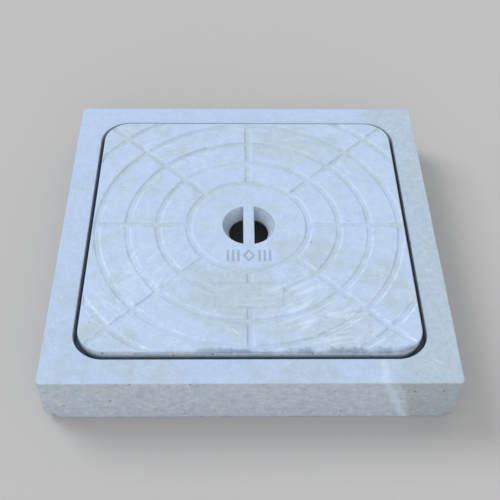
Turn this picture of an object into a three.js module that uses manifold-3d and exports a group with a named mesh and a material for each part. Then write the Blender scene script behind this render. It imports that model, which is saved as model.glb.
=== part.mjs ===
// Precast reinforced concrete manhole cover and frame for foot and light vehicle traffic, nominal 18 in.
// Millimetres, +Z up. The origin is the centre of the frame's underside. The cover lies in the frame's
// rebate and lifts straight out. The lifting bridge runs along Y, and the blank name panel faces -Y.
import * as THREE from "three";
import { mergeVertices } from "three/addons/utils/BufferGeometryUtils.js";
import Module from "manifold-3d";

const wasm = await Module();
wasm.setup();

// Driving dimensions
const FRAME_SIDE = 545;
const FRAME_HEIGHT = 80;
const FRAME_CORNER_RADIUS = 6;
const COVER_SIDE = 457;
const COVER_THICKNESS = 25;
const COVER_CORNER_RADIUS = 40;
const COVER_PROUD = 5; // how far the tread stands above the frame's rim
const SIDE_CLEARANCE = 6; // between cover and rebate, all round at the top
const SIDE_DRAFT = 2; // how much a side leans in over the rebate's depth
const CLEAR_OPENING = 400;
const CLEARANCE = 0.3; // between pieces that touch

// Derived levels and outlines
const SEAT_DEPTH = COVER_THICKNESS - COVER_PROUD + CLEARANCE;
const SEAT_LEVEL = FRAME_HEIGHT - SEAT_DEPTH;
const REBATE_SIDE = COVER_SIDE + 2 * SIDE_CLEARANCE;
const REBATE_CORNER_RADIUS = COVER_CORNER_RADIUS + 3;
const CLEAR_CORNER_RADIUS = 25;
const COVER_EDGE_RADIUS = 2.5;
const FRAME_EDGE_RADIUS = 1.5;
const OVERCUT = 2; // how far a cutter reaches past the face that it opens

// Tread pattern: rings and spokes of one groove section
const RING_COUNT = 5;
const RING_FIRST_RADIUS = 88;
const RING_PITCH = 44.5;
const SPOKE_COUNT = 8;
const GROOVE_WIDTH = 10;
const GROOVE_FLOOR_WIDTH = 7;
const GROOVE_DEPTH = 2.5;
const PANEL = { width: 92, length: 41, centre: -132, line: 1.4, depth: 0.9 };

// Lifting pocket: a hole with a waist near its foot, crossed by a bridge
const POCKET_TOP_RADIUS = 38;
const POCKET_WAIST_RADIUS = 28.5;
const POCKET_FOOT_RADIUS = 32;
const POCKET_WAIST_LEVEL = 6;
const BRIDGE_WIDTH = 16;

// Reinforcement
const BAR_RADIUS = 3;
const ROD_RADIUS = 4;
const LINK_RADIUS = 2.5;
const MAT_BAR_LENGTH = COVER_SIDE - 27;
const MAT_POSITIONS = [-190, -125, -60, 60, 125, 190];
const MAT_LOWER_LEVEL = 9;
const MAT_UPPER_LEVEL = MAT_LOWER_LEVEL + 2 * BAR_RADIUS + CLEARANCE;
const ROD_LEVEL = MAT_UPPER_LEVEL - BAR_RADIUS - CLEARANCE - ROD_RADIUS;
const ROD_REACH = 90;
const ROD_HOOK = 35;
const ROD_BEND_RADIUS = 9;
const FRAME_COVER = 12; // from the frame's faces to a link's centre line
const LINK_BEND_RADIUS = 5.5;
const LINK_NEST = LINK_RADIUS + CLEARANCE + BAR_RADIUS; // from a link's centre line to a ring bar's
const LINK_OFFSETS = [-110, 110];
const SPACER_SIDE = 22;

const ROUND_SIDES = 8;
const BEND_STEPS = 3;
const RING_SEGMENTS = 48;
const POCKET_SEGMENTS = 40;
const CORNER_SEGMENTS = 8;

const concrete = new THREE.MeshStandardMaterial({ color: 0xb2c3d8, roughness: 0.9, metalness: 0 });
const frameConcrete = new THREE.MeshStandardMaterial({ color: 0xafc1d6, roughness: 0.92, metalness: 0 });
const mortar = new THREE.MeshStandardMaterial({ color: 0x9ea3a6, roughness: 0.95, metalness: 0 });
const mildSteel = new THREE.MeshStandardMaterial({ color: 0x6e5a4c, roughness: 0.6, metalness: 0.8 });

// A closed geometry as a solid that can be cut and joined.
function solidOf(geometry) {
  const bare = geometry.index ? geometry.toNonIndexed() : geometry.clone();
  for (const name of Object.keys(bare.attributes)) if (name !== "position") bare.deleteAttribute(name);
  const merged = mergeVertices(bare, 1e-3);
  return new wasm.Manifold(
    new wasm.Mesh({
      numProp: 3,
      vertProperties: merged.attributes.position.array,
      triVerts: new Uint32Array(merged.index.array),
    }),
  );
}

function geometryOf(solid) {
  const mesh = solid.getMesh();
  const geometry = new THREE.BufferGeometry();
  geometry.setAttribute("position", new THREE.BufferAttribute(new Float32Array(mesh.vertProperties), 3));
  geometry.setIndex(new THREE.BufferAttribute(new Uint32Array(mesh.triVerts), 1));
  geometry.computeVertexNormals();
  return geometry;
}

function roundedSquare(side, radius) {
  const straight = side / 2 - radius;
  const shape = new THREE.Shape();
  shape.absarc(straight, straight, radius, 0, Math.PI / 2);
  shape.absarc(-straight, straight, radius, Math.PI / 2, Math.PI);
  shape.absarc(-straight, -straight, radius, Math.PI, 1.5 * Math.PI);
  shape.absarc(straight, -straight, radius, 1.5 * Math.PI, 2 * Math.PI);
  return shape;
}

// A block with a rounded square outline, from z = 0 up. Its foot is narrower than its head by the draft.
function draftedBlock({ side, radius, height, draft = 0, edge = 0 }) {
  const geometry = new THREE.ExtrudeGeometry(roundedSquare(side, radius), {
    depth: height - 2 * edge,
    curveSegments: CORNER_SEGMENTS,
    bevelEnabled: edge > 0,
    bevelSize: edge,
    bevelOffset: -edge,
    bevelThickness: edge,
    bevelSegments: 2,
  }).translate(0, 0, edge);
  const place = geometry.attributes.position;
  for (let i = 0; i < place.count; i++) {
    const shrink = 1 - (2 * draft * (1 - place.getZ(i) / height)) / side;
    place.setXY(i, place.getX(i) * shrink, place.getY(i) * shrink);
  }
  return geometry;
}

// A groove's section: across, and up from the tread.
function grooveSection() {
  const sideSlope = (GROOVE_WIDTH - GROOVE_FLOOR_WIDTH) / (2 * GROOVE_DEPTH);
  const mouth = GROOVE_WIDTH / 2 + OVERCUT * sideSlope;
  return [
    new THREE.Vector2(-GROOVE_FLOOR_WIDTH / 2, -GROOVE_DEPTH),
    new THREE.Vector2(GROOVE_FLOOR_WIDTH / 2, -GROOVE_DEPTH),
    new THREE.Vector2(mouth, OVERCUT),
    new THREE.Vector2(-mouth, OVERCUT),
  ];
}

function ringCutter(radius) {
  const profile = grooveSection().map((point) => new THREE.Vector2(radius + point.x, point.y));
  profile.push(profile[0].clone());
  const ring = new THREE.LatheGeometry(profile, RING_SEGMENTS).rotateX(Math.PI / 2);
  return ring.translate(0, 0, COVER_THICKNESS);
}

function spokeCutter(angle) {
  const along = new THREE.Matrix4().makeBasis(
    new THREE.Vector3(0, 1, 0),
    new THREE.Vector3(0, 0, 1),
    new THREE.Vector3(1, 0, 0),
  );
  const section = new THREE.Shape(grooveSection());
  return new THREE.ExtrudeGeometry(section, { depth: COVER_SIDE, bevelEnabled: false })
    .applyMatrix4(along)
    .translate(RING_FIRST_RADIUS, 0, COVER_THICKNESS)
    .rotateZ(angle);
}

function boxBetween(low, high) {
  const size = high.map((value, i) => value - low[i]);
  return new THREE.BoxGeometry(...size).translate(...low.map((value, i) => value + size[i] / 2));
}

// The panel's place, grown sideways, between two levels.
function panelBox(grow, bottom, top) {
  const halfWidth = PANEL.width / 2 + grow;
  const halfLength = PANEL.length / 2 + grow;
  const nearEnd = PANEL.centre - halfLength;
  const farEnd = PANEL.centre + halfLength;
  return boxBetween([-halfWidth, nearEnd, bottom], [halfWidth, farEnd, top]);
}

// Everything that is cut into the tread. Rings and spokes stop at the panel, which a thin line frames.
function treadPattern() {
  let grooves = solidOf(ringCutter(RING_FIRST_RADIUS));
  for (let i = 1; i < RING_COUNT; i++) {
    grooves = grooves.add(solidOf(ringCutter(RING_FIRST_RADIUS + i * RING_PITCH)));
  }
  for (let i = 0; i < SPOKE_COUNT; i++) {
    grooves = grooves.add(solidOf(spokeCutter((i * 2 * Math.PI) / SPOKE_COUNT)));
  }
  const aboveTread = COVER_THICKNESS + 2 * OVERCUT;
  grooves = grooves.subtract(solidOf(panelBox(PANEL.line, 0, aboveTread)));
  const lineFloor = COVER_THICKNESS - PANEL.depth;
  const line = solidOf(panelBox(PANEL.line, lineFloor, COVER_THICKNESS + OVERCUT));
  return grooves.add(line.subtract(solidOf(panelBox(0, 0, aboveTread))));
}

// The pocket without the bridge that crosses it. Its walls run on past both faces of the cover.
function liftingPocket() {
  const topSlope = (POCKET_TOP_RADIUS - POCKET_WAIST_RADIUS) / (COVER_THICKNESS - POCKET_WAIST_LEVEL);
  const footSlope = (POCKET_FOOT_RADIUS - POCKET_WAIST_RADIUS) / POCKET_WAIST_LEVEL;
  const top = POCKET_TOP_RADIUS + OVERCUT * topSlope;
  const foot = POCKET_FOOT_RADIUS + OVERCUT * footSlope;
  const profile = [
    new THREE.Vector2(0, -OVERCUT),
    new THREE.Vector2(foot, -OVERCUT),
    new THREE.Vector2(POCKET_WAIST_RADIUS, POCKET_WAIST_LEVEL),
    new THREE.Vector2(top, COVER_THICKNESS + OVERCUT),
    new THREE.Vector2(0, COVER_THICKNESS + OVERCUT),
  ];
  const hole = new THREE.LatheGeometry(profile, POCKET_SEGMENTS).rotateX(Math.PI / 2);
  const bridge = boxBetween(
    [-BRIDGE_WIDTH / 2, -2 * top, -2 * OVERCUT],
    [BRIDGE_WIDTH / 2, 2 * top, COVER_THICKNESS + 2 * OVERCUT],
  );
  return solidOf(hole).subtract(solidOf(bridge));
}

function coverBlank() {
  const block = draftedBlock({
    side: COVER_SIDE,
    radius: COVER_CORNER_RADIUS,
    height: COVER_THICKNESS,
    draft: SIDE_DRAFT,
    edge: COVER_EDGE_RADIUS,
  });
  return solidOf(block).subtract(treadPattern()).subtract(liftingPocket());
}

function frameBlank() {
  const block = draftedBlock({
    side: FRAME_SIDE,
    radius: FRAME_CORNER_RADIUS,
    height: FRAME_HEIGHT,
    edge: FRAME_EDGE_RADIUS,
  });
  const rebate = draftedBlock({
    side: REBATE_SIDE,
    radius: REBATE_CORNER_RADIUS,
    height: SEAT_DEPTH + OVERCUT,
    draft: SIDE_DRAFT,
  }).translate(0, 0, SEAT_LEVEL);
  const throat = draftedBlock({
    side: CLEAR_OPENING,
    radius: CLEAR_CORNER_RADIUS,
    height: SEAT_LEVEL + 2 * OVERCUT,
  }).translate(0, 0, -OVERCUT);
  return solidOf(block).subtract(solidOf(rebate)).subtract(solidOf(throat));
}

// The eight corners of a round bar's section, with flats that touch the circle.
function roundSection(radius) {
  const reach = radius / Math.cos(Math.PI / ROUND_SIDES);
  return Array.from({ length: ROUND_SIDES }, (_, i) => {
    const angle = ((i + 0.5) * 2 * Math.PI) / ROUND_SIDES;
    return new THREE.Vector2(reach * Math.cos(angle), reach * Math.sin(angle));
  });
}

// Where a rod passes and which way it heads there. It is bent square at each inner corner, and both of
// its ends are longer by the growth.
function rodStations(corners, bend, grow) {
  const last = corners.length - 1;
  const headings = corners.slice(1).map((corner, i) => corner.clone().sub(corners[i]).normalize());
  const start = corners[0].clone().addScaledVector(headings[0], -grow);
  const end = corners[last].clone().addScaledVector(headings[last - 1], grow);
  const stations = [{ at: start, heading: headings[0] }];
  for (let i = 1; i < last; i++) {
    const before = headings[i - 1];
    const after = headings[i];
    const centre = corners[i].clone().addScaledVector(before, -bend).addScaledVector(after, bend);
    for (let step = 0; step <= BEND_STEPS; step++) {
      const angle = ((step / BEND_STEPS) * Math.PI) / 2;
      const heading = before.clone().multiplyScalar(Math.cos(angle));
      heading.addScaledVector(after, Math.sin(angle));
      const at = centre.clone().addScaledVector(before, bend * Math.sin(angle));
      stations.push({ at: at.addScaledVector(after, -bend * Math.cos(angle)), heading });
    }
  }
  stations.push({ at: end, heading: headings[last - 1] });
  return stations;
}

// A round rod through points that all lie in one plane.
function rod({ points, planeNormal, radius, bend = 0 }, grow) {
  const normal = new THREE.Vector3(...planeNormal);
  const stations = rodStations(points.map((point) => new THREE.Vector3(...point)), bend, grow);
  const section = roundSection(radius + grow);
  const positions = stations.flatMap(({ at, heading }) => {
    const side = normal.clone().cross(heading);
    return section.flatMap((corner) => {
      const point = at.clone().addScaledVector(side, corner.x);
      return point.addScaledVector(normal, corner.y).toArray();
    });
  });
  const faces = [];
  const lastRing = (stations.length - 1) * ROUND_SIDES;
  for (let ring = 0; ring < lastRing; ring += ROUND_SIDES) {
    for (let i = 0; i < ROUND_SIDES; i++) {
      const here = ring + i;
      const next = ring + ((i + 1) % ROUND_SIDES);
      faces.push(here, next, next + ROUND_SIDES, here, next + ROUND_SIDES, here + ROUND_SIDES);
    }
  }
  for (let i = 1; i < ROUND_SIDES - 1; i++) {
    faces.push(0, i + 1, i, lastRing, lastRing + i, lastRing + i + 1);
  }
  const geometry = new THREE.BufferGeometry();
  geometry.setAttribute("position", new THREE.Float32BufferAttribute(positions, 3));
  geometry.setIndex(faces);
  geometry.computeVertexNormals();
  return geometry;
}

// A bar bent into a closed rounded square, with an eight-sided section, centred on z = 0.
function ringBar(side, cornerRadius, radius) {
  const bevel = radius * (2 - Math.SQRT2);
  const shape = roundedSquare(side + 2 * radius, cornerRadius + radius);
  shape.holes.push(roundedSquare(side - 2 * radius, cornerRadius - radius));
  return new THREE.ExtrudeGeometry(shape, {
    depth: 2 * (radius - bevel),
    curveSegments: 4,
    bevelSize: bevel,
    bevelOffset: -bevel,
    bevelThickness: bevel,
    bevelSegments: 1,
  }).translate(0, 0, bevel - radius);
}

// A square mortar spacer from z = 0 up to a height. Its channel is open below.
function spacerBlock(height, grow) {
  const half = SPACER_SIDE / 2 + grow;
  const foot = grow > 0 ? -OVERCUT : 0;
  return boxBetween([-half, -half, foot], [half, half, height + grow]);
}

// A piece that the concrete is cast round. Its shape takes the growth that makes the concrete's channel.
function castIn(name, material, shape) {
  const mesh = new THREE.Mesh(shape(0), material);
  mesh.name = name;
  mesh.userData.channel = shape(CLEARANCE);
  return mesh;
}

// The concrete, with a channel round each piece in the group.
function castAround(name, material, blank, group) {
  let cast = blank;
  group.updateMatrixWorld(true);
  group.traverse((piece) => {
    if (!piece.isMesh) return;
    cast = cast.subtract(solidOf(piece.userData.channel.clone().applyMatrix4(piece.matrixWorld)));
  });
  const mesh = new THREE.Mesh(geometryOf(cast), material);
  mesh.name = name;
  return mesh;
}

// Two layers of straight bars: the lower one runs along Y, and the upper one along X.
function reinforcingMat() {
  const mat = new THREE.Group();
  const end = MAT_BAR_LENGTH / 2;
  MAT_POSITIONS.forEach((place, i) => {
    const layers = [
      ["lower", [place, -end, MAT_LOWER_LEVEL], [place, end, MAT_LOWER_LEVEL]],
      ["upper", [-end, place, MAT_UPPER_LEVEL], [end, place, MAT_UPPER_LEVEL]],
    ];
    for (const [layer, from, to] of layers) {
      const bar = { points: [from, to], planeNormal: [0, 0, 1], radius: BAR_RADIUS };
      mat.add(castIn(`cover_bar_${layer}_${i + 1}`, mildSteel, (grow) => rod(bar, grow)));
    }
  });
  return mat;
}

// The rod through the bridge. It runs under the middle bars of the mat's upper layer, and its ends hook
// aside.
function liftingRod() {
  const points = [
    [ROD_HOOK, -ROD_REACH, ROD_LEVEL],
    [0, -ROD_REACH, ROD_LEVEL],
    [0, ROD_REACH, ROD_LEVEL],
    [-ROD_HOOK, ROD_REACH, ROD_LEVEL],
  ];
  const hooked = { points, planeNormal: [0, 0, 1], radius: ROD_RADIUS, bend: ROD_BEND_RADIUS };
  return castIn("lifting_rod", mildSteel, (grow) => rod(hooked, grow));
}

function coverSpacers() {
  const spacers = new THREE.Group();
  const height = MAT_LOWER_LEVEL - BAR_RADIUS - CLEARANCE;
  const along = 90;
  for (const [i, x] of [MAT_POSITIONS[1], MAT_POSITIONS[4]].entries()) {
    for (const [j, y] of [-along, along].entries()) {
      const block = castIn(`cover_spacer_${2 * i + j + 1}`, mortar, (grow) => spacerBlock(height, grow));
      block.position.set(x, y, 0);
      spacers.add(block);
    }
  }
  return spacers;
}

function frameRingBars() {
  const rings = new THREE.Group();
  const outer = FRAME_SIDE / 2 - FRAME_COVER - LINK_NEST;
  const inner = CLEAR_OPENING / 2 + FRAME_COVER + LINK_NEST;
  const low = FRAME_COVER + LINK_NEST;
  const high = FRAME_HEIGHT - FRAME_COVER - LINK_NEST;
  const bars = [
    ["frame_ring_bar_upper", outer, high, 30],
    ["frame_ring_bar_lower_outer", outer, low, 30],
    ["frame_ring_bar_lower_inner", inner, low, 20],
  ];
  for (const [name, half, level, corner] of bars) {
    const bar = castIn(name, mildSteel, (grow) => ringBar(2 * half, corner, BAR_RADIUS + grow));
    bar.position.z = level;
    rings.add(bar);
  }
  return rings;
}

// Open links, two to a side, that hold the ring bars in their bends. One link of each two stands on a
// spacer.
function frameLinksAndSpacers() {
  const cage = new THREE.Group();
  const outer = FRAME_SIDE / 2 - FRAME_COVER;
  const inner = CLEAR_OPENING / 2 + FRAME_COVER;
  const points = [
    [outer, 0, FRAME_HEIGHT - FRAME_COVER],
    [outer, 0, FRAME_COVER],
    [inner, 0, FRAME_COVER],
    [inner, 0, SEAT_LEVEL - FRAME_COVER],
  ];
  const open = { points, planeNormal: [0, 1, 0], radius: LINK_RADIUS, bend: LINK_BEND_RADIUS };
  const faceInset = 0.3;
  const spacerHeight = FRAME_COVER - LINK_RADIUS - CLEARANCE - faceInset;
  for (let side = 0; side < 4; side++) {
    const turned = new THREE.Group();
    turned.rotation.z = (side * Math.PI) / 2;
    LINK_OFFSETS.forEach((offset, i) => {
      const name = `frame_link_${side * LINK_OFFSETS.length + i + 1}`;
      const link = castIn(name, mildSteel, (grow) => rod(open, grow));
      link.position.y = offset;
      turned.add(link);
    });
    const spacer = castIn(`frame_spacer_${side + 1}`, mortar, (grow) => spacerBlock(spacerHeight, grow));
    spacer.position.set((outer + inner) / 2, LINK_OFFSETS[1], faceInset);
    turned.add(spacer);
    cage.add(turned);
  }
  return cage;
}

function manholeCover() {
  const cover = new THREE.Group();
  cover.add(reinforcingMat(), liftingRod(), coverSpacers());
  cover.add(castAround("cover_slab", concrete, coverBlank(), cover));
  cover.position.z = SEAT_LEVEL + CLEARANCE;

  const frame = new THREE.Group();
  frame.add(frameRingBars(), frameLinksAndSpacers());
  frame.add(castAround("frame_body", frameConcrete, frameBlank(), frame));

  const whole = new THREE.Group();
  whole.add(frame, cover);
  return whole;
}

export default manholeCover();
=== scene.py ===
"""Looks for the concrete manhole cover and its frame.

Shapes are worked out in millimetres, and the meshes are made in metres.
"""

import math
import random

import bmesh
import bpy
import numpy as np
from mathutils import Matrix, Vector, geometry, kdtree, noise


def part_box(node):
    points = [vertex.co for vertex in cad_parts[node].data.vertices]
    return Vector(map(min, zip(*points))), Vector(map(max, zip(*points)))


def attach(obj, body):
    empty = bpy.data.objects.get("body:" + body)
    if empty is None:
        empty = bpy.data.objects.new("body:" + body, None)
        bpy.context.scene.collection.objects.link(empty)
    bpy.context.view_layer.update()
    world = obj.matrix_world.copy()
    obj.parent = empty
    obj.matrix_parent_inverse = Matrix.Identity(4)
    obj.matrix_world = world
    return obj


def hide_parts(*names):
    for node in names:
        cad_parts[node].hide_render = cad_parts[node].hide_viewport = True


MM = 0.001

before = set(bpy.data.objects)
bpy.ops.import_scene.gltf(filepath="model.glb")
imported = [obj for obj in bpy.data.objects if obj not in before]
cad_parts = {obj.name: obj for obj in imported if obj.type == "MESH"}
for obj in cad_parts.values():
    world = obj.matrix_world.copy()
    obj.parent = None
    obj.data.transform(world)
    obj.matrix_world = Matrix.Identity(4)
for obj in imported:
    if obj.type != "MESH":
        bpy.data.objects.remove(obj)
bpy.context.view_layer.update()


def box_mm(node):
    """A CAD node's lowest and highest corners, in millimetres."""
    low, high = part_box(node)
    return np.array(low) / MM, np.array(high) / MM


COVER_LOW, COVER_HIGH = box_mm("cover_slab")
FRAME_HIGH = box_mm("frame_body")[1]
TREAD = COVER_HIGH[2]
COVER_FOOT = COVER_LOW[2]
RIM = FRAME_HIGH[2]

# Mortar spacers in each body, and the gap round a spacer in its hollow
SPACERS, SPACER_GAP = 4, 0.3

# Cover
COVER_HALF = COVER_HIGH[0]
COVER_CORNER = 40
COVER_DRAFT = 1.8
TREAD_ROUNDING, FOOT_ROUNDING = 2.6, 1.5
POCKET_TOP, POCKET_WAIST, POCKET_FOOT = 38.0, 28.6, 32.0
POCKET_WAIST_LEVEL = COVER_FOOT + 6
POCKET_ROUNDING = 1.6
BRIDGE_HALF = 8.0
FIRST_RING, RING_PITCH, RING_COUNT = 88, 44.5, 5
RINGS = [FIRST_RING + RING_PITCH * i for i in range(RING_COUNT)]
SPOKES = [math.radians(45 * i) for i in range(8)]
GROOVE_FLOOR, GROOVE_MOUTH, GROOVE_DEPTH = 3.1, 5.5, 2.4
PANEL_CENTRE, PANEL_WIDTH, PANEL_LENGTH = -132, 92, 41
MARK_CENTRE, MARK_HEIGHT = -60, 19

# Where the tread is stained greenish grey: x, y, reach and strength
STAINS = [
    (-38, -130, 95, 0.9),
    (20, -160, 85, 0.6),
    (100, -60, 75, 0.7),
    (120, -195, 85, 0.7),
    (195, -110, 80, 0.6),
    (60, 180, 75, 0.7),
    (120, 150, 60, 0.5),
    (-195, 195, 60, 0.5),
    (-205, -205, 65, 0.5),
]

# Where the tread is scraped: centre, reach, direction in degrees and seed
SCRAPES = [
    ((62, -150), 75, 28, 41),
    ((110, -185), 60, 12, 45),
    ((-150, -95), 70, 52, 49),
    ((-175, -150), 60, -38, 53),
]

# Frame
FRAME_HALF = FRAME_HIGH[0]
FRAME_CORNER = 6
FRAME_ROUNDING = 1.5
COVER_GAP = 6
REBATE_HALF, REBATE_CORNER = COVER_HALF + COVER_GAP, COVER_CORNER + 3
REBATE_ROUNDING, REBATE_DRAFT = 1.4, 1.8
SEAT_GAP = 0.3
SEAT = COVER_FOOT - SEAT_GAP
CLEAR_HALF, CLEAR_CORNER = 200.0, 25
CLEAR_TOP_ROUNDING, CLEAR_FOOT_ROUNDING = 1.8, 1.5

# The ends of the scrape down the front face: x and height
FRONT_SCRAPE = [(172, RIM), (204, 0)]

# Sets of fine scratches in the concrete: size of the noise, direction in degrees and shift of the noise
SCRATCHES = [
    (9, 38, (0.3, 0.6, 0.1)),
    (12, -40, (0.9, 0.2, 0.7)),
    (8, 80, (0.1, 0.5, 0.8)),
    (11, 8, (0.6, 0.4, 0.2)),
]


# Shape tools


def quarter_turn(steps):
    """Angles from 0 to a right angle, with both ends."""
    return [math.pi / 2 * i / steps for i in range(steps + 1)]


def rounded_square(half, radius, straight_steps, corner_steps):
    """Points round a square with rounded corners, anticlockwise from its right side's lower end."""
    points = []
    for quarter in range(4):
        turn = Matrix.Rotation(quarter * math.pi / 2, 2)
        edge = half - radius
        for i in range(straight_steps):
            points.append(turn @ Vector((half, -edge + 2 * edge * i / straight_steps)))
        for angle in quarter_turn(corner_steps)[:-1]:
            across, along = edge + radius * math.cos(angle), edge + radius * math.sin(angle)
            points.append(turn @ Vector((across, along)))
    return np.array(points)


def half_moon(side, radius, chord, arc_steps, chord_steps):
    """The outline of one side of the pocket, between its round wall and the bridge, anticlockwise."""
    reach = math.acos(chord / radius)
    arc = [-reach + 2 * reach * i / arc_steps for i in range(arc_steps)]
    points = [(radius * math.cos(a), radius * math.sin(a)) for a in arc]
    top = radius * math.sin(reach)
    points += [(chord, top - 2 * top * i / chord_steps) for i in range(chord_steps)]
    points = np.array(points)
    return points * (side, side)


def square(centre, half, steps):
    """A square outline with a number of steps to each side, anticlockwise."""
    corners = [(half, -half), (half, half), (-half, half), (-half, -half)]
    points = []
    for i, corner in enumerate(corners):
        following = corners[(i + 1) % 4]
        for step in range(steps):
            t = step / steps
            points.append([a + (b - a) * t for a, b in zip(corner, following)])
    return np.array(points) + centre


class Skin:
    """A closed surface, built from outlines, bands between outlines, and flat sheets with holes."""

    def __init__(self):
        self.points = []
        self.faces = []
        self.count = 0

    def add(self, flat, height):
        """Adds points at one height, and returns their numbers."""
        self.points.append(np.column_stack([flat, np.full(len(flat), float(height))]))
        self.count += len(flat)
        return np.arange(self.count - len(flat), self.count)

    def band(self, first, second):
        """Joins two outlines of the same number of points."""
        quads = np.column_stack([first, np.roll(first, -1), np.roll(second, -1), second])
        self.faces.extend(quads.tolist())

    def bands(self, outlines):
        """Joins each outline to the next."""
        for first, second in zip(outlines, outlines[1:]):
            self.band(first, second)

    def sheet(self, outer, holes, inner):
        """Fills an outline, but not its holes, with triangles that also use the inner points."""
        points = np.concatenate(self.points)
        numbers = np.concatenate([outer, *holes, inner])
        owner = np.zeros(self.count, int)
        for i, hole in enumerate(holes):
            owner[hole] = i + 1
        place = {number: i for i, number in enumerate(numbers.tolist())}
        edges = []
        for outline in (outer, *holes):
            following = np.roll(outline, -1)
            edges += [(place[a], place[b]) for a, b in zip(outline.tolist(), following.tolist())]
        flat = [Vector(p) for p in points[numbers, :2]]
        inside_outline, tolerance = 1, 1e-6
        made = geometry.delaunay_2d_cdt(flat, edges, [], inside_outline, tolerance)
        source = [ids[0] for ids in made[3]]
        triangles = numbers[np.array([[source[i] for i in face] for face in made[2]])]
        # Triangles between points of one hole lie in that hole, and are left out
        owners = owner[triangles]
        in_hole = (owners[:, 0] > 0) & (owners == owners[:, :1]).all(axis=1)
        self.faces.extend(triangles[~in_hole].tolist())

    def mesh(self, name, displace):
        """Makes the mesh, with its points moved and the paints that come with them, such as dirt and
        painted shade.
        """
        points, paints = displace(np.concatenate(self.points))
        mesh = bpy.data.meshes.new(name)
        mesh.from_pydata((points * MM).tolist(), [], self.faces)
        work = bmesh.new()
        work.from_mesh(mesh)
        bmesh.ops.recalc_face_normals(work, faces=work.faces)
        work.to_mesh(mesh)
        work.free()
        mesh.polygons.foreach_set("use_smooth", [True] * len(mesh.polygons))
        for paint, values in paints.items():
            mesh.attributes.new(paint, "FLOAT", "POINT").data.foreach_set("value", values)
        mesh.update()
        return mesh


def thinned(layers):
    """Points from layers of (points, spacing), without those too close to a point of an earlier layer."""
    taken = np.empty((0, 2))
    for points, spacing in layers:
        points = np.asarray(points)
        if len(taken):
            tree = kdtree.KDTree(len(taken))
            for i, p in enumerate(taken):
                tree.insert((p[0], p[1], 0), i)
            tree.balance()
            gaps = np.array([tree.find((p[0], p[1], 0))[2] for p in points])
            points = points[gaps > spacing]
        taken = np.concatenate([taken, points])
    return taken


def grid(half_x, half_y, pitch, centre_y=0):
    """Points in rows and columns, centred on x = 0."""
    across = np.arange(-half_x, half_x + pitch / 2, pitch)
    along = np.arange(centre_y - half_y, centre_y + half_y + pitch / 2, pitch)
    return np.array(np.meshgrid(across, along)).reshape(2, -1).T


def smooth(low, high, value):
    """0 below low, 1 above high, and smooth between. Low may be the larger one."""
    t = np.clip((value - low) / (high - low), 0, 1)
    return t * t * (3 - 2 * t)


def ripple(points, size, seed):
    """Smooth noise from -1 to 1 at each point, with features of about one size."""
    shift = Vector((seed * 17.3, seed * 5.1, seed * 9.7))
    return np.array([noise.noise(Vector(p) / size + shift) for p in points])


def inside_square(points, half, radius):
    """How far each point is inside a rounded square; negative outside."""
    beyond = np.maximum(np.abs(points[:, :2]) - (half - radius), 0)
    core = np.max(np.abs(points[:, :2]) - (half - radius), axis=1)
    return radius - np.hypot(beyond[:, 0], beyond[:, 1]) - np.minimum(core, 0)


def segment_distance(points, start, end):
    """How far each point of a plane is from a straight line between two places."""
    start, end = np.array(start), np.array(end)
    along = end - start
    t = np.clip((points - start) @ along / (along @ along), 0, 1)
    return np.linalg.norm(points - start - t[:, None] * along, axis=1)


def spacer_hollow(skin, node, foot):
    """Adds the square hollow round a mortar spacer. Returns its mouth, and (centre, half width)."""
    low, high = box_mm(node)
    centre = (low[:2] + high[:2]) / 2
    half = (high[0] - low[0]) / 2 + SPACER_GAP
    steps = 6
    mouth = skin.add(square(centre, half, steps), foot)
    roof = skin.add(square(centre, half, steps), high[2] + SPACER_GAP)
    skin.band(mouth, roof)
    skin.sheet(roof, [], skin.add(np.array([centre]), high[2] + SPACER_GAP))
    return mouth, (centre, half)


def off_hollows(points, hollows):
    """The points that are clear of the spacers' hollows."""
    margin = 1.5
    for centre, half in hollows:
        points = points[np.max(np.abs(points - centre), axis=1) > half + margin]
    return points


# Cover


def mark_strokes():
    """A plain row of bars with a diamond in the middle, where a size mark would be."""
    low, high = MARK_CENTRE - MARK_HEIGHT / 2, MARK_CENTRE + MARK_HEIGHT / 2
    strokes = [((side * x, low), (side * x, high)) for side in (-1, 1) for x in (15, 22.5, 30)]
    tips = [(7, MARK_CENTRE), (0, high), (-7, MARK_CENTRE), (0, low)]
    return strokes + list(zip(tips, tips[1:] + tips[:1]))


def panel_distance(flat):
    """Distance outside the panel's outline; negative inside."""
    beyond = np.abs(flat - (0, PANEL_CENTRE)) - (PANEL_WIDTH / 2, PANEL_LENGTH / 2)
    return np.max(beyond, axis=1)


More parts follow.
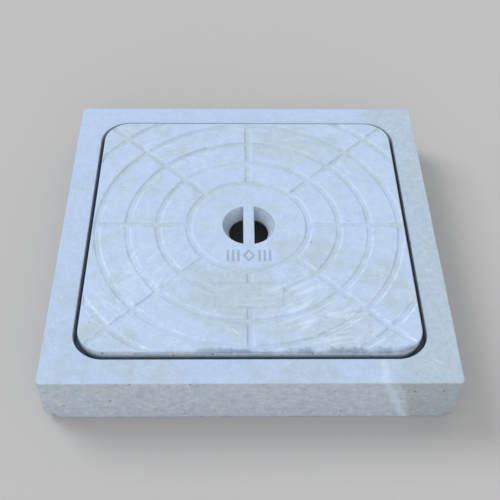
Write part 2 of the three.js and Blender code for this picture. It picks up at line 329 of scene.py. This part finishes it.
def tread_pattern(points):
    """How far the pattern lies below the tread at each point, with its dirt and its rubbed lips, which
    also carry a painted highlight.
    """
    flat = points[:, :2]
    radius = np.hypot(flat[:, 0], flat[:, 1])
    off_ring = np.min([np.abs(radius - ring) for ring in RINGS], axis=0)
    off_spoke = np.full(len(flat), 1e3)
    for angle in SPOKES:
        out = flat @ (math.cos(angle), math.sin(angle))
        side = np.abs(flat @ (-math.sin(angle), math.cos(angle)))
        off_spoke = np.where(out > RINGS[0], np.minimum(off_spoke, side), off_spoke)
    off_groove = np.minimum(off_ring, off_spoke)
    off_groove = off_groove + 0.3 * ripple(points, 11, 2) + 0.25 * ripple(points, 4, 13)
    depth = GROOVE_DEPTH * (0.78 + 0.42 * ripple(points, 55, 1))
    panel = panel_distance(flat)
    beside_panel = smooth(0.5, 2.5, panel)
    groove = smooth(GROOVE_MOUTH, GROOVE_FLOOR, off_groove) * depth * beside_panel
    # Pale lips along the grooves: partly rubbed wear, partly a painted highlight where the groove walls
    # catch the light
    lip = smooth(GROOVE_MOUTH + 1.3, GROOVE_MOUTH, off_groove)
    lip *= smooth(GROOVE_FLOOR, GROOVE_FLOOR + 1.2, off_groove)
    lip *= beside_panel * (radius > RINGS[0] - 8)
    lip *= 0.45 + 0.8 * smooth(40, -150, flat[:, 1]) * smooth(40, 150, np.abs(flat[:, 0]))
    outline = smooth(1.7, 0.4, np.abs(panel - 0.6)) * (0.75 + 0.25 * ripple(points, 25, 12))
    strokes = [segment_distance(flat, start, end) for start, end in mark_strokes()]
    mark = smooth(2.1, 0.9, np.min(strokes, axis=0))
    drop = np.maximum.reduce([groove, 0.5 * outline, 0.9 * mark])
    grime = np.maximum(0.10 * outline, 0.34 * mark)
    return drop, grime, lip


def bug_holes():
    """Small round voids in the tread, clear of the pocket: where, how wide and how deep."""
    rng = random.Random(11)
    count, reach, pocket_reach = 15, 215, 45
    holes = []
    while len(holes) < count:
        x, y = rng.uniform(-reach, reach), rng.uniform(-reach, reach)
        if math.hypot(x, y) > pocket_reach:
            holes.append((x, y, rng.choice((0.8, 1.0, 1.4)), rng.uniform(0.5, 1.2)))
    return holes


def tread_points():
    """Points for the tread: close together across its grooves and marks, and wider apart elsewhere."""
    along_groove = 2.4
    across_groove = (-6.9, -6.1, -5.4, -4.8, -4.2, -3.5, -1.8, 0, 1.8, 3.5, 4.2, 4.8, 5.4, 6.1, 6.9)
    layers = [(grid(33, 12, 0.8, MARK_CENTRE), 0)]
    pits = []
    for x, y, size, _ in bug_holes():
        pits.append((x, y))
        for share, count in ((0.55, 6), (1.0, 8), (1.5, 10)):
            turns = np.arange(count) * 2 * math.pi / count
            pits += list(zip(x + share * size * np.cos(turns), y + share * size * np.sin(turns)))
    layers.append((np.array(pits), 0.5))
    panel_lines = []
    for grow in (-0.6, 0.1, 0.6, 1.1, 2.0):
        half_x, half_y = PANEL_WIDTH / 2 + grow, PANEL_LENGTH / 2 + grow
        along_x = np.arange(-half_x, half_x + 0.1, 1.6)
        along_y = np.arange(-half_y, half_y + 0.1, 1.6)
        for side in (-1, 1):
            panel_lines += [(x, PANEL_CENTRE + side * half_y) for x in along_x]
            panel_lines += [(side * half_x, PANEL_CENTRE + y) for y in along_y]
    layers.append((np.array(panel_lines), 0.4))
    corner_reach = 330
    spokes = []
    for angle in SPOKES:
        out = np.array((math.cos(angle), math.sin(angle)))
        side = np.array((-math.sin(angle), math.cos(angle)))
        for offset in across_groove:
            reaches = np.arange(RINGS[0], corner_reach, along_groove)
            spokes += [out * reach + side * offset for reach in reaches]
    layers.append((np.array(spokes), 0.9))
    rings = []
    for ring in RINGS:
        for offset in across_groove:
            radius = ring + offset
            count = int(2 * math.pi * radius / along_groove)
            turns = np.linspace(0, 2 * math.pi, count, endpoint=False)
            rings += list(zip(radius * np.cos(turns), radius * np.sin(turns)))
    layers.append((np.array(rings), 0.95))
    layers.append((grid(228, 228, 2.7), 1.9))
    return thinned(layers)


def cover_skin():
    """The slab with its tread, pocket, bridge, sides, underside and the hollows for the spacers."""
    skin = Skin()
    straight_steps, corner_steps, side_steps = 220, 40, 10
    arc_steps, chord_steps = 60, 40

    def outline(inset, height):
        half, radius = COVER_HALF - inset, COVER_CORNER - inset
        return skin.add(rounded_square(half, radius, straight_steps, corner_steps), height)

    side_top, side_foot = TREAD - TREAD_ROUNDING, COVER_FOOT + FOOT_ROUNDING
    outlines = []
    for turn in quarter_turn(5):
        inset = TREAD_ROUNDING * (1 - math.sin(turn))
        outlines.append(outline(inset, TREAD - TREAD_ROUNDING * (1 - math.cos(turn))))
    for i in range(1, side_steps + 1):
        height = side_top + (side_foot - side_top) * i / side_steps
        outlines.append(outline(COVER_DRAFT * i / side_steps, height))
    for turn in quarter_turn(3)[1:]:
        inset = COVER_DRAFT + FOOT_ROUNDING * (1 - math.cos(turn))
        outlines.append(outline(inset, side_foot - FOOT_ROUNDING * math.sin(turn)))
    skin.bands(outlines)

    wall = [
        (POCKET_TOP, TREAD - POCKET_ROUNDING),
        (POCKET_WAIST, POCKET_WAIST_LEVEL),
        (POCKET_FOOT, COVER_FOOT),
    ]
    top_moons, foot_moons = [], []
    for side in (-1, 1):
        rows = []
        for turn in quarter_turn(4):
            spread = POCKET_ROUNDING * (1 - math.sin(turn))
            moon = half_moon(side, POCKET_TOP + spread, BRIDGE_HALF - spread, arc_steps, chord_steps)
            rows.append(skin.add(moon, TREAD - POCKET_ROUNDING * (1 - math.cos(turn))))
        for (radius, height), (next_radius, next_height), steps in zip(wall, wall[1:], (9, 4)):
            for i in range(1, steps + 1):
                reach = radius + (next_radius - radius) * i / steps
                moon = half_moon(side, reach, BRIDGE_HALF, arc_steps, chord_steps)
                rows.append(skin.add(moon, height + (next_height - height) * i / steps))
        skin.bands(rows)
        top_moons.append(rows[0])
        foot_moons.append(rows[-1])

    mouths, hollows = [], []
    for number in range(1, SPACERS + 1):
        mouth, hollow = spacer_hollow(skin, f"cover_spacer_{number}", COVER_FOOT)
        mouths.append(mouth)
        hollows.append(hollow)

    def kept(points, margin, moon_radius):
        """The points that are clear of the slab's edge and of the pocket's two sides."""
        clear = inside_square(points, COVER_HALF, COVER_CORNER) > margin
        on_bridge = np.abs(points[:, 0]) < BRIDGE_HALF - POCKET_ROUNDING - 1
        clear &= (np.hypot(*points.T) > moon_radius + 1.2) | on_bridge
        return points[clear]

    tread = kept(tread_points(), TREAD_ROUNDING + 0.9, POCKET_TOP + POCKET_ROUNDING)
    skin.sheet(outlines[0], top_moons, skin.add(tread, TREAD))
    under = off_hollows(kept(grid(224, 224, 5.6), COVER_DRAFT + 4, POCKET_FOOT), hollows)
    skin.sheet(outlines[-1], foot_moons + mouths, skin.add(under, COVER_FOOT))
    return skin


def rubbed(points, centre, reach, turn, seed):
    """Pale scrapes in one direction round a place on the tread, from 0 to 1."""
    along = math.radians(turn)
    out = points[:, :2] - centre
    streak = np.column_stack([
        out @ (math.cos(along), math.sin(along)),
        out @ (-math.sin(along), math.cos(along)) * 7,
        points[:, 2],
    ])
    near = smooth(reach, 0.3 * reach, np.linalg.norm(out, axis=1) + 14 * ripple(points, 30, seed))
    return near * smooth(0.05, 0.45, ripple(streak, 26, seed + 1))


def shape_cover(points):
    """Cuts the pattern and wear into the slab, says where it is dirty, rubbed, scraped or stained, and
    where shade and highlights are painted.
    """
    points = points.copy()
    grime, lip, scuff, in_groove = np.zeros((4, len(points)))
    on_tread = points[:, 2] > TREAD - 0.01
    top = points[on_tread]
    drop, grime[on_tread], lip[on_tread] = tread_pattern(top)
    in_groove[on_tread] = smooth(0.4, 1.6, drop)
    for x, y, size, depth in bug_holes():
        away = np.hypot(top[:, 0] - x, top[:, 1] - y)
        hole = smooth(1.3 * size, 0.4 * size, away)
        drop += depth * hole
        # The bug holes are darkened: painted shade in them
        grime[on_tread] = np.maximum(grime[on_tread], 0.5 * hole)
    drop += 0.06 * (1 + ripple(top, 35, 3)) + 0.05 * (1 + ripple(top, 6, 4))
    scrape = np.maximum.reduce([rubbed(top, *place) for place in SCRAPES])
    drop += 0.25 * scrape
    scuff[on_tread] = scrape
    points[on_tread, 2] -= drop

    edge = inside_square(points, COVER_HALF, COVER_CORNER)
    near_top = smooth(9, 1, TREAD - points[:, 2]) * smooth(9, 1.5, edge)
    rough = np.maximum(0, 0.6 * ripple(points, 11, 6) + 0.5 * ripple(points, 5, 7) - 0.02)
    front = smooth(-205, -222, points[:, 1]) * smooth(-110, -10, points[:, 0])
    front *= smooth(215, 150, points[:, 0])
    elsewhere = np.maximum(0, ripple(points, 26, 8) - 0.42)
    chip = near_top * rough * (3.2 * front + 3.0 * elsewhere)
    inward = -points[:, :2] / np.maximum(np.abs(points[:, :2]).max(axis=1), 1)[:, None]
    steep = smooth(0.92, 1.0, np.abs(inward))
    points[:, :2] += inward * steep * (0.7 * chip)[:, None]
    points[:, 2] -= chip
    grime = np.maximum(grime, 0.4 * smooth(0.4, 1.6, chip))
    smudge = smooth(7.5, 3, edge + 5 * ripple(points, 5, 14))
    smudge *= smooth(-0.4, 0.2, ripple(points, 22, 15))
    on_front_edge = smooth(-215, -222, points[:, 1]) * smooth(TREAD - 5, TREAD - 2, points[:, 2])
    grime = np.maximum(grime, 0.48 * smudge * on_front_edge * smooth(-120, -20, points[:, 0]))

    battered = smooth(-200, -226, points[:, 1]) * smooth(RIM - 4, TREAD, points[:, 2])
    points[:, 1] += 2.6 * battered
    # The cover's sides below the rim are darkened: painted shade in the gap round the cover
    gap_shade = smooth(9, 4, edge) * smooth(RIM, RIM - 9, points[:, 2])
    grime = np.maximum(grime, 0.55 * gap_shade)
    stain = 0.15 + 0.4 * ripple(points, 75, 31) + 0.65 * ripple(points, 20, 32)
    stain += in_groove * (0.15 + 0.4 * smooth(-80, 80, points[:, 1]))
    for x, y, reach, strength in STAINS:
        away = np.hypot(points[:, 0] - x, points[:, 1] - y) + 16 * ripple(points, 30, 33)
        stain += strength * smooth(reach, 0.1 * reach, away)
    return points, {"grime": grime, "lip": lip, "scuff": scuff, "stain": np.clip(stain, 0, 1)}


# Frame


def frame_skin():
    """The square ring with its rim, rebate, seat, clear opening and the hollows for the spacers."""
    skin = Skin()
    straight_steps, corner_steps = 176, 20
    wall_pitch, seat_pitch = 2.6, 4

    def outline(half, radius, height):
        return skin.add(rounded_square(half, radius, straight_steps, corner_steps), height)

    def run(start, end, pitch):
        """Outlines from one (half, radius, height) to another, without the first."""
        steps = max(1, round(max(abs(a - b) for a, b in zip(start, end)) / pitch))
        return [[a + (b - a) * i / steps for a, b in zip(start, end)] for i in range(1, steps + 1)]

    def turn_over(half, radius, height, size, inner, upper):
        """Outlines round one edge. Half, radius and height are those of the sharp edge it replaces."""
        away = 1 if inner else -1
        up = 1 if upper else -1
        made = []
        for turn in quarter_turn(4):
            shift = away * size * (1 - math.sin(turn))
            made.append([half + shift, radius + shift, height - up * size * (1 - math.cos(turn))])
        return made

    outer = turn_over(FRAME_HALF, FRAME_CORNER, RIM, FRAME_ROUNDING, False, True)
    outer_foot = turn_over(FRAME_HALF, FRAME_CORNER, 0, FRAME_ROUNDING, False, False)[::-1]
    rows = outer + run(outer[-1], outer_foot[0], wall_pitch) + outer_foot[1:]
    outer_rows = [outline(*row) for row in rows]
    skin.bands(outer_rows)

    rebate = turn_over(REBATE_HALF, REBATE_CORNER, RIM, REBATE_ROUNDING, True, True)
    seat_edge = [REBATE_HALF - REBATE_DRAFT, REBATE_CORNER - REBATE_DRAFT, SEAT]
    clear_top = turn_over(CLEAR_HALF, CLEAR_CORNER, SEAT, CLEAR_TOP_ROUNDING, True, True)
    clear_foot = turn_over(CLEAR_HALF, CLEAR_CORNER, 0, CLEAR_FOOT_ROUNDING, True, False)[::-1]
    rows = rebate + run(rebate[-1], seat_edge, wall_pitch)
    rows += run(seat_edge, clear_top[0], seat_pitch) + clear_top[1:]
    rows += run(clear_top[-1], clear_foot[0], seat_pitch) + clear_foot[1:]
    inner_rows = [outline(*row) for row in rows]
    skin.bands(inner_rows)

    mouths, hollows = [], []
    for number in range(1, SPACERS + 1):
        mouth, hollow = spacer_hollow(skin, f"frame_spacer_{number}", 0)
        mouths.append(mouth)
        hollows.append(hollow)

    def kept(points, hole_half, hole_corner, hole_rounding, margin):
        """The points that are clear of the ring's outer edge and of its hole."""
        off_edge = inside_square(points, FRAME_HALF, FRAME_CORNER) > FRAME_ROUNDING + margin
        off_hole = inside_square(points, hole_half, hole_corner) < -hole_rounding - margin
        return points[off_edge & off_hole]

    rim = kept(grid(268, 268, 3.0), REBATE_HALF, REBATE_CORNER, REBATE_ROUNDING, 1.5)
    skin.sheet(outer_rows[0], [inner_rows[0]], skin.add(rim, RIM))
    under = kept(grid(265, 265, 5.3), CLEAR_HALF, CLEAR_CORNER, CLEAR_FOOT_ROUNDING, 2.5)
    under = off_hollows(under, hollows)
    skin.sheet(outer_rows[-1], [inner_rows[-1], *mouths], skin.add(under, 0))
    return skin


def shape_frame(points):
    """Wears the frame, makes its faces uneven, and says where it is dirty, scraped or stained, and where
    shade is painted: in the rebate and towards the front.
    """
    points = points.copy()
    outside = inside_square(points, FRAME_HALF, FRAME_CORNER)
    skin_depth = smooth(6, 0.5, outside)
    to_corner = np.hypot(*(FRAME_HALF - np.abs(points[:, :2])).T)
    worn = smooth(22, 2, to_corner) * smooth(13, 0, points[:, 2]) * (8 + 3 * ripple(points, 40, 21))
    points[:, :2] -= np.sign(points[:, :2]) / math.sqrt(2) * worn[:, None]

    on_rim = points[:, 2] > RIM - 0.01
    rim = points[on_rim]
    points[on_rim, 2] -= 0.08 * (1 + ripple(rim, 30, 22)) + 0.05 * (1 + ripple(rim, 7, 23))

    inward = -points[:, :2] / np.maximum(np.abs(points[:, :2]).max(axis=1), 1)[:, None]
    steep = smooth(0.97, 1.0, np.abs(inward))
    wave = 0.25 * (1 + ripple(points, 45, 24)) + 0.15 * (1 + ripple(points, 9, 25))
    points[:, :2] += inward * steep * (skin_depth * wave)[:, None]

    foot_edge = smooth(7, 1, points[:, 2]) * skin_depth
    crumble = np.maximum(0, ripple(points, 14, 26) + 0.5 * ripple(points, 5, 27) - 0.1)
    points[:, :2] += inward * steep * (foot_edge * crumble * 1.8)[:, None]

    in_rebate = inside_square(points, REBATE_HALF + 1.2, REBATE_CORNER + 1.2) > 0
    # Darker down the rebate's walls from the rim: painted shade in the gap round the cover, partly dirt
    rebate_dirt_and_shade = 0.55 * smooth(RIM - 0.5, RIM - 7, points[:, 2])
    rebate_dirt_and_shade *= smooth(SEAT - 24, SEAT - 2, points[:, 2])
    grime = np.where(in_rebate, rebate_dirt_and_shade, 0.0)
    to_right = points[:, 0] + 20 * ripple(points, 50, 37)
    # Stains, plus a darkening towards the front in y that is painted shade
    stain = 0.22 + 0.8 * smooth(165, 225, to_right) - 0.2 * points[:, 1] / FRAME_HALF
    stain += 0.3 * ripple(points, 85, 33) + 0.4 * ripple(points, 17, 34)
    on_front = points[:, 1] < -FRAME_HALF + 4
    ragged = points[:, 0] + 0.3 * points[:, 2] + 14 * ripple(points, 22, 35)
    below_rim = points[:, 2] < RIM - 1
    stain = np.clip(stain, 0, 1) + np.where(on_front & below_rim, smooth(196, 222, ragged), 0)
    off_scrape = segment_distance(points[:, [0, 2]], *FRONT_SCRAPE) + 2.5 * ripple(points, 12, 36)
    scraped_part = on_front | on_rim & (points[:, 1] < -REBATE_HALF)
    scuff = np.where(scraped_part, 0.75 * smooth(7.5, 2, off_scrape), 0)
    nothing = np.zeros(len(points))
    return points, {"grime": grime, "lip": nothing, "scuff": scuff, "stain": stain}


# Materials


class Graph:
    """Builds the nodes of one material."""

    def __init__(self, name):
        self.material = bpy.data.materials.new(name)
        self.material.use_nodes = True
        self.nodes = self.material.node_tree.nodes
        self.links = self.material.node_tree.links
        self.shader = self.nodes["Principled BSDF"]
        place = self.nodes.new("ShaderNodeTexCoord")
        self.place = place.outputs["Object"]
        self.facing = self.nodes.new("ShaderNodeNewGeometry").outputs["Normal"]

    def set(self, socket, value):
        """Links an output to a socket, or sets a plain value on it."""
        if isinstance(value, bpy.types.NodeSocket):
            self.links.new(value, socket)
        else:
            socket.default_value = value

    def noise(self, size, detail=3.0, roughness=0.55, stretch=(1, 1, 1), turn=0.0, shift=(0, 0, 0)):
        """Noise with features of a size in millimetres, which stretch lengthens along its turned axes."""
        mapping = self.nodes.new("ShaderNodeMapping")
        mapping.vector_type = "TEXTURE"
        mapping.inputs["Rotation"].default_value = (0, 0, math.radians(turn))
        mapping.inputs["Scale"].default_value = stretch
        mapping.inputs["Location"].default_value = shift
        self.links.new(self.place, mapping.inputs["Vector"])
        texture = self.nodes.new("ShaderNodeTexNoise")
        texture.inputs["Scale"].default_value = 1 / (size * MM)
        texture.inputs["Detail"].default_value = detail
        texture.inputs["Roughness"].default_value = roughness
        self.links.new(mapping.outputs["Vector"], texture.inputs["Vector"])
        return texture.outputs["Fac"]

    def step(self, value, low, high, to_low=0.0, to_high=1.0):
        """A smooth change from to_low to to_high as the value goes from low to high."""
        node = self.nodes.new("ShaderNodeMapRange")
        node.interpolation_type = "SMOOTHSTEP"
        self.set(node.inputs["Value"], value)
        limits = {"From Min": low, "From Max": high, "To Min": to_low, "To Max": to_high}
        for name, number in limits.items():
            node.inputs[name].default_value = number
        return node.outputs["Result"]

    def math(self, operation, first, second=0.0):
        node = self.nodes.new("ShaderNodeMath")
        node.operation = operation
        self.set(node.inputs[0], first)
        self.set(node.inputs[1], second)
        return node.outputs[0]

    def mix(self, share, first, second, blend="MIX"):
        """Blends two colours. The node's colour sockets are inputs 6 and 7 and output 2."""
        node = self.nodes.new("ShaderNodeMix")
        node.data_type = "RGBA"
        node.blend_type = blend
        self.set(node.inputs[0], share)
        self.set(node.inputs[6], first)
        self.set(node.inputs[7], second)
        return node.outputs[2]

    def paint(self, name):
        """A value that is stored on the mesh's points."""
        node = self.nodes.new("ShaderNodeAttribute")
        node.attribute_name = name
        return node.outputs["Fac"]

    def scratches(self, size, turn, shift):
        """Thin long lines in one direction, in patches."""
        lines = self.noise(size, 1.5, 0.5, stretch=(6, 0.8, 1), turn=turn, shift=shift)
        away = self.math("ABSOLUTE", self.math("SUBTRACT", lines, 0.5))
        patches = self.step(self.noise(60, 3, 0.6, shift=shift[::-1]), 0.52, 0.64)
        return self.math("MULTIPLY", self.step(away, 0.012, 0.003), patches)

    def pits(self, size, share):
        """Small round voids, one in some of the cells of a size in millimetres, from 0 to 1."""
        cells = self.nodes.new("ShaderNodeTexVoronoi")
        cells.inputs["Scale"].default_value = 1 / (size * MM)
        self.links.new(self.place, cells.inputs["Vector"])
        chosen = self.step(self.split(cells.outputs["Color"])[0], share + 0.02, share)
        return self.math("MULTIPLY", self.step(cells.outputs["Distance"], 0.13, 0.08), chosen)

    def split(self, vector):
        """The X, Y and Z outputs of a vector."""
        node = self.nodes.new("ShaderNodeSeparateXYZ")
        self.links.new(vector, node.inputs[0])
        return node.outputs

    def bump(self, layers):
        """Adds fine relief from (height, depth in millimetres) layers."""
        normal = None
        for height, depth in layers:
            node = self.nodes.new("ShaderNodeBump")
            node.inputs["Distance"].default_value = depth * MM
            self.links.new(height, node.inputs["Height"])
            if normal:
                self.links.new(normal, node.inputs["Normal"])
            normal = node.outputs["Normal"]
        self.links.new(normal, self.shader.inputs["Normal"])


def linear(red, green, blue):
    """A linear colour from 0 to 255 display values."""

    def one(value):
        value /= 255
        return value / 12.92 if value <= 0.04045 else ((value + 0.055) / 1.055) ** 2.4

    return (one(red), one(green), one(blue), 1)


def side_colour_and_shade(g, stain, cool, warm):
    """The colour of an upright cast face, greyer and darker than the top, partly as painted shade:
    clouded, with pale flecks, pour lines and darker old stains.
    """
    colour = g.mix(g.step(g.noise(30, 4, 0.6), 0.40, 0.62), cool, warm)
    cloud = g.step(g.noise(11, 5, 0.7, shift=(0.7, 0.2, 0.3)), 0.45, 0.66)
    colour = g.mix(g.math("MULTIPLY", cloud, 0.5), colour, linear(146, 156, 166))
    old = g.step(stain, 1.05, 1.8)
    colour = g.mix(g.math("MULTIPLY", old, 0.85), colour, linear(150, 157, 162))
    pale = linear(204, 212, 221)
    flecks = g.step(g.noise(7, 5, 0.75, stretch=(1.3, 1.3, 0.9), shift=(0.1, 0.9, 0.4)), 0.46, 0.72)
    colour = g.mix(g.math("MULTIPLY", flecks, g.step(old, 0, 1, 0.55, 0.25)), colour, pale)
    lines = g.step(g.noise(3, 2, 0.5, stretch=(14, 14, 0.7)), 0.45, 0.60)
    return g.mix(g.math("MULTIPLY", lines, 0.08), colour, pale)


def concrete(name, plain, green, pale, side_cool, side_warm):
    """Cast concrete with stains and some painted shade, mottling, grain, scratches, rubbed lips with a
    painted highlight, dirt with painted shade in the gap, pores and pits darkened as painted shade, and
    greyer side faces that are partly painted shade.
    """
    g = Graph(name)
    mottle = g.step(g.noise(9, 4, 0.7, shift=(0.4, 0.1, 0)), 0.35, 0.68)
    stain = g.paint("stain")
    colour = g.mix(g.step(stain, 0.0, 1.0), plain, green)
    colour = g.mix(g.math("MULTIPLY", mottle, 0.22), colour, pale)

    # Upright faces take a greyer, darker colour than the top: partly the cast faces' own colour, partly
    # painted shade
    on_side = g.step(g.math("ABSOLUTE", g.split(g.facing)[2]), 0.75, 0.35)
    colour = g.mix(on_side, colour, side_colour_and_shade(g, stain, side_cool, side_warm))
    pits = g.math("MULTIPLY", g.pits(13, 0.35), on_side)

    scratch = g.scratches(*SCRATCHES[0])
    for other_set in SCRATCHES[1:]:
        scratch = g.math("MAXIMUM", scratch, g.scratches(*other_set))
    colour = g.mix(g.math("MULTIPLY", scratch, 0.45), colour, pale)
    colour = g.mix(g.math("MULTIPLY", g.paint("scuff"), 0.5), colour, pale)
    # Pale groove lips: rubbed wear and a painted highlight
    worn_and_lit_lip = g.math("MULTIPLY", g.paint("lip"), g.step(g.noise(24, 5, 0.75), 0.42, 0.62, 0.05, 1.0))
    colour = g.mix(g.math("MULTIPLY", worn_and_lit_lip, 0.65), colour, pale)

    grain = g.noise(1.3, 2, 0.6)
    colour = g.mix(1.0, colour, g.step(grain, 0.2, 0.8, 0.94, 1.06), "MULTIPLY")
    pores = g.step(g.noise(2.6, 1, 0.5, shift=(0.2, 0.8, 0.5)), 0.74, 0.82)
    holes = g.math("MAXIMUM", g.math("MULTIPLY", pores, 0.25), g.math("MULTIPLY", pits, 0.6))
    # Pores and pits are darkened: painted shade in the voids
    colour = g.mix(holes, colour, linear(96, 106, 120))
    # Dark navy for dirt and for the painted shade in the gap round the cover
    colour = g.mix(g.math("MULTIPLY", g.paint("grime"), 0.9), colour, linear(52, 74, 104))
    g.links.new(colour, g.shader.inputs["Base Color"])
    g.links.new(g.step(mottle, 0, 1, 0.78, 0.92), g.shader.inputs["Roughness"])
    g.shader.inputs["Specular IOR Level"].default_value = 0.3
    g.bump([(g.noise(6, 5, 0.6), 0.4), (grain, 0.12), (pores, -0.3), (pits, -1.0), (scratch, 0.12)])
    return g.material


def cover_concrete():
    return concrete(
        "cover_concrete",
        plain=linear(172, 193, 221),
        green=linear(167, 186, 201),
        pale=linear(206, 222, 243),
        side_cool=linear(152, 171, 187),
        side_warm=linear(164, 176, 187),
    )


def frame_concrete():
    return concrete(
        "frame_concrete",
        plain=linear(170, 191, 221),
        green=linear(163, 181, 197),
        pale=linear(202, 217, 236),
        side_cool=linear(167, 180, 193),
        side_warm=linear(175, 183, 191),
    )


def mortar():
    g = Graph("mortar")
    colour = g.mix(g.step(g.noise(8, 4, 0.6), 0.35, 0.65), linear(136, 147, 158), linear(158, 166, 174))
    sand = g.step(g.noise(1.1, 2, 0.6), 0.3, 0.7, 0.88, 1.08)
    g.links.new(g.mix(1.0, colour, sand, "MULTIPLY"), g.shader.inputs["Base Color"])
    g.shader.inputs["Roughness"].default_value = 0.93
    g.bump([(g.noise(1.1, 3, 0.6), 0.3)])
    return g.material


def mild_steel():
    g = Graph("mild_steel")
    rust = g.step(g.noise(9, 5, 0.65), 0.4, 0.6)
    colour = g.mix(rust, linear(92, 88, 86), linear(124, 76, 50))
    g.links.new(colour, g.shader.inputs["Base Color"])
    g.links.new(g.step(rust, 0, 1, 0.85, 0.15), g.shader.inputs["Metallic"])
    g.links.new(g.step(rust, 0, 1, 0.45, 0.85), g.shader.inputs["Roughness"])
    g.bump([(g.noise(1.6, 3, 0.6), 0.15)])
    return g.material


# Camera, light and floor


def make_camera():
    """The camera looks down on the cover from the front, with the panel nearest."""
    azimuth, elevation, roll = math.radians(-1.62), math.radians(48.13), math.radians(1.21)
    outward = math.cos(elevation)
    back = Vector((math.sin(azimuth) * outward, -math.cos(azimuth) * outward, math.sin(elevation)))
    level = Vector((math.cos(azimuth), math.sin(azimuth), 0))
    upward = back.cross(level)
    right = level * math.cos(roll) + upward * math.sin(roll)
    up = upward * math.cos(roll) - level * math.sin(roll)
    target = Vector((1.2, -45.6, RIM)) * MM
    distance = 1.2648
    data = bpy.data.cameras.new("camera")
    data.sensor_width = 36
    data.lens = 63.53
    data.clip_start, data.clip_end = 0.05, 50
    camera = bpy.data.objects.new("camera", data)
    turned = Matrix((right, up, back)).transposed().to_4x4()
    camera.matrix_world = Matrix.Translation(target + back * distance) @ turned
    bpy.context.scene.collection.objects.link(camera)
    bpy.context.scene.camera = camera


def distant_light(name, azimuth, elevation, strength, spread, colour):
    """Even light from a direction. Azimuth 0 is behind the object and 90 is on its left."""
    data = bpy.data.lights.new(name, "SUN")
    data.energy = strength
    data.angle = math.radians(spread)
    data.color = colour
    light = bpy.data.objects.new(name, data)
    around, above = math.radians(azimuth), math.radians(elevation)
    outward = math.cos(above)
    away = Vector((-math.sin(around) * outward, math.cos(around) * outward, math.sin(above)))
    light.rotation_mode = "QUATERNION"
    light.rotation_quaternion = away.to_track_quat("Z", "Y")
    bpy.context.scene.collection.objects.link(light)


def make_stage():
    """An even white surround, two soft lights and a grey floor."""
    world = bpy.data.worlds.new("studio")
    world.use_nodes = True
    background = world.node_tree.nodes["Background"]
    background.inputs["Color"].default_value = (1.0, 1.0, 1.0, 1)
    background.inputs["Strength"].default_value = 0.70
    scene = bpy.context.scene
    scene.world = world
    scene.view_settings.view_transform = "Standard"
    scene.view_settings.look = "None"
    white, warm_white = (1.0, 1.0, 1.0), (1.0, 0.99, 0.98)
    distant_light("key", azimuth=56, elevation=40, strength=1.6, spread=32, colour=white)
    distant_light("fill", azimuth=185, elevation=20, strength=1.1, spread=60, colour=warm_white)

    bpy.ops.mesh.primitive_grid_add(x_subdivisions=8, y_subdivisions=8, size=14, location=(0, 0, 0))
    floor = bpy.context.object
    floor.name = "floor"
    g = Graph("floor")
    tone = g.step(g.noise(600, 2, 0.5), 0.3, 0.7, 0.0, 0.06)
    darker, lighter = (0.46, 0.46, 0.46, 1), (0.49, 0.49, 0.49, 1)
    g.links.new(g.mix(tone, darker, lighter), g.shader.inputs["Base Color"])
    g.shader.inputs["Roughness"].default_value = 0.95
    g.shader.inputs["Specular IOR Level"].default_value = 0.1
    floor.data.materials.append(g.material)


def place_piece(name, mesh, material, body, node):
    """Puts a shaped piece in the place of a CAD node."""
    mesh.materials.append(material)
    piece = bpy.data.objects.new(name, mesh)
    bpy.context.scene.collection.objects.link(piece)
    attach(piece, body)
    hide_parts(node)


def dress_cast_in_pieces():
    """Steel for the bars, rod and links, and mortar for the spacers."""
    steel, spacer = mild_steel(), mortar()
    for name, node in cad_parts.items():
        if name in ("cover_slab", "frame_body"):
            continue
        for material_slot in node.material_slots:
            material_slot.material = spacer if "spacer" in name else steel


make_camera()
make_stage()
dress_cast_in_pieces()
cover_mesh = cover_skin().mesh("cover_concrete", shape_cover)
place_piece("cover_concrete", cover_mesh, cover_concrete(), "cover", "cover_slab")
frame_mesh = frame_skin().mesh("frame_concrete", shape_frame)
place_piece("frame_concrete", frame_mesh, frame_concrete(), "frame", "frame_body")
